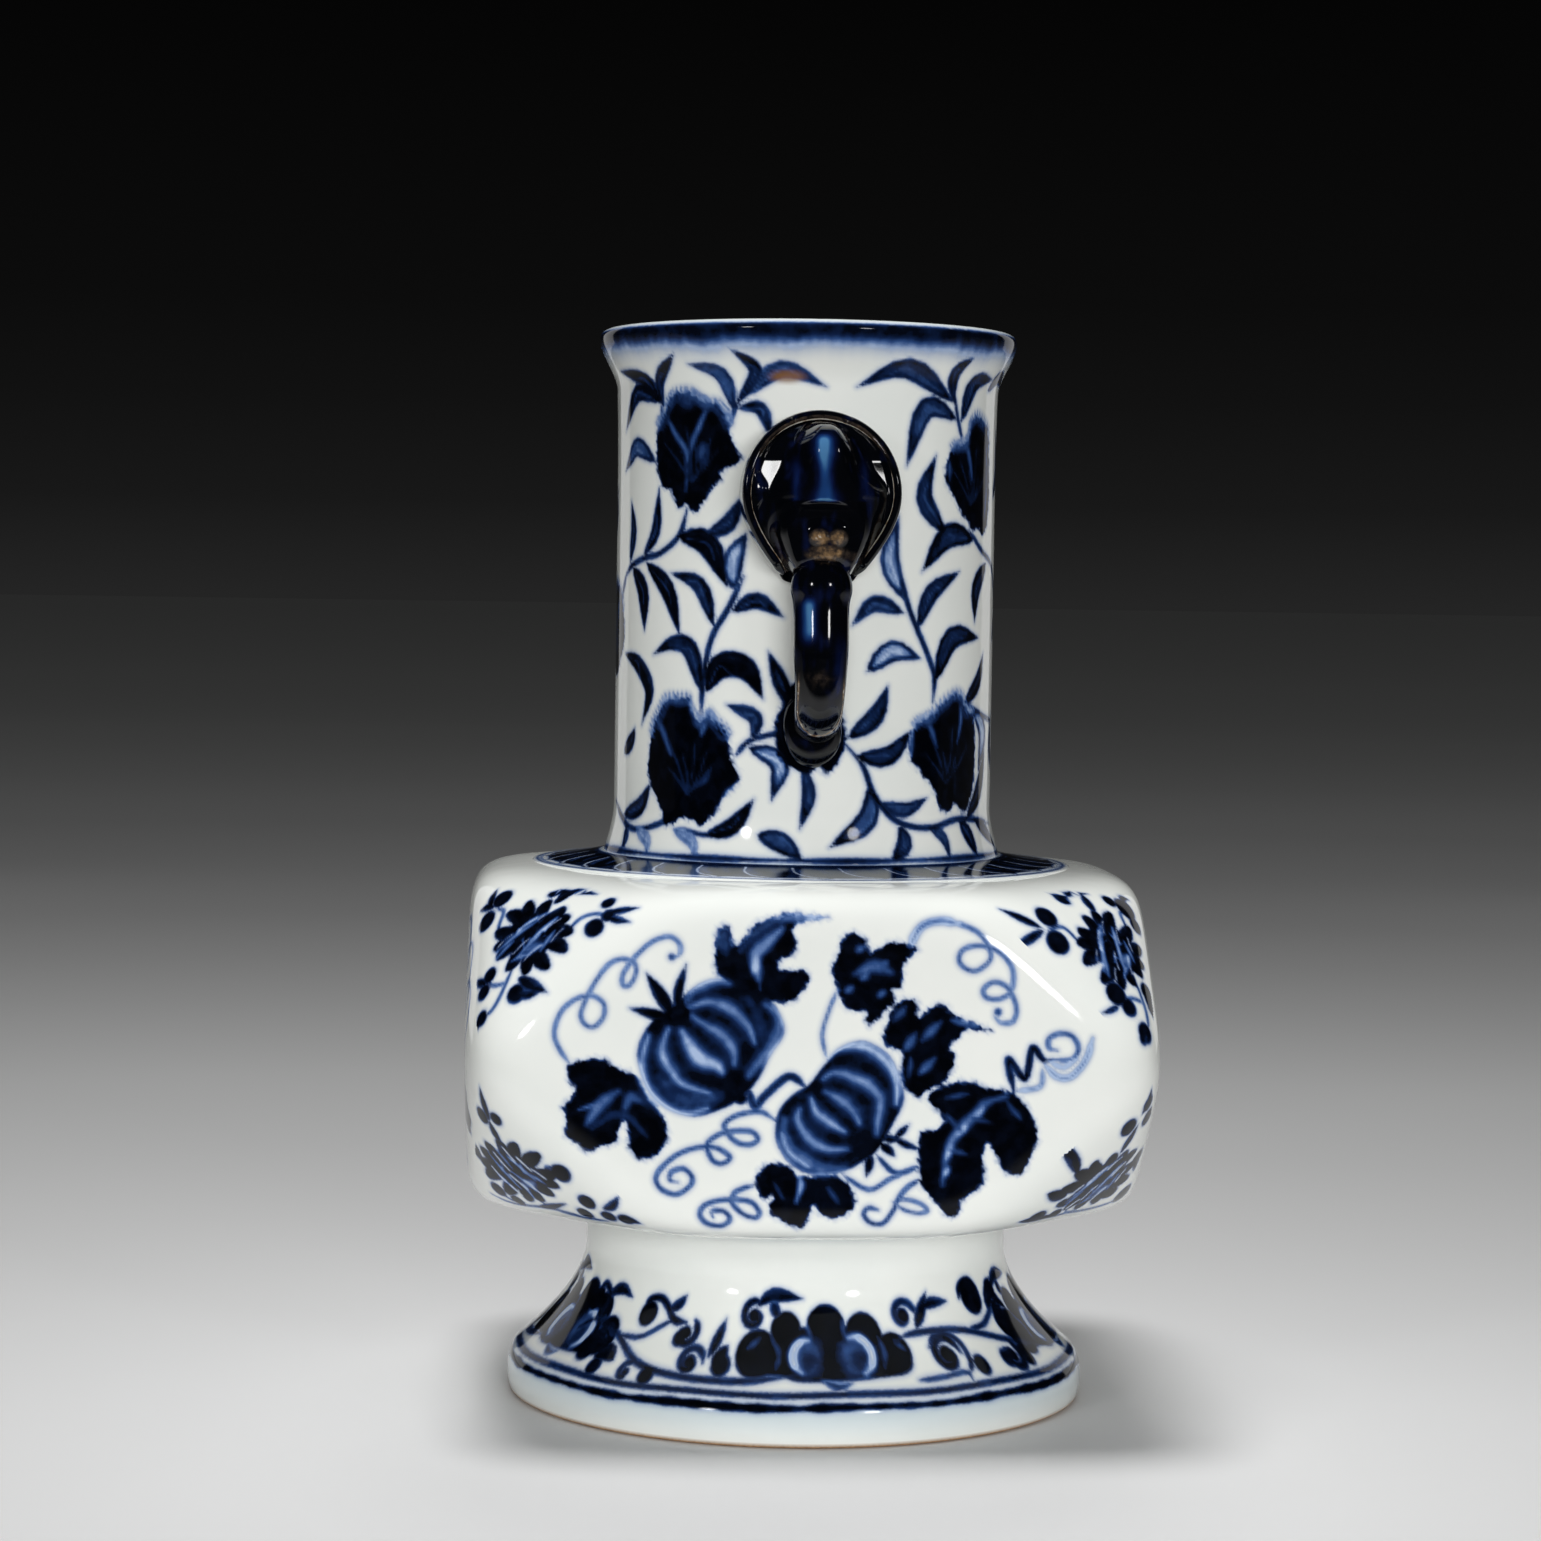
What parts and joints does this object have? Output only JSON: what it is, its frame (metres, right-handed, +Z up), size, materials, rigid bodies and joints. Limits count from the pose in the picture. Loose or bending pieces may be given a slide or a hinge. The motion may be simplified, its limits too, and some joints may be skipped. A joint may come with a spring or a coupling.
{
  "type": "porcelain vase",
  "caption": "Blue-and-white porcelain vase: square body with cut corners, round neck, splayed foot, elephant-head handles.",
  "frame": {"origin": "on the table, under the centre of the foot", "axes": "+Z up along the vase's axis, -Y towards the front handle, +X to the right of the front panel"},
  "size_m": [0.0936, 0.0936, 0.15],
  "materials": {
    "neck_glaze": "clear gloss glaze over cobalt-blue painting on white porcelain",
    "body_glaze": "clear gloss glaze over cobalt-blue painting on white porcelain",
    "foot_glaze": "clear gloss glaze over cobalt-blue painting, bare biscuit on the standing rim",
    "handle_glaze": "dark cobalt-blue gloss glaze, thin and brown on the high spots"
  },
  "bodies": {
    "root": {"neck": "neck_glaze", "body_upper": "body_glaze", "body_lower": "body_glaze", "foot": "foot_glaze", "front_head": "handle_glaze", "front_ear_left": "handle_glaze", "front_ear_right": "handle_glaze", "front_trunk": "handle_glaze", "front_trunk_pad": "handle_glaze", "back_head": "handle_glaze", "back_ear_left": "handle_glaze", "back_ear_right": "handle_glaze", "back_trunk": "handle_glaze", "back_trunk_pad": "handle_glaze"}
  },
  "joints": []
}
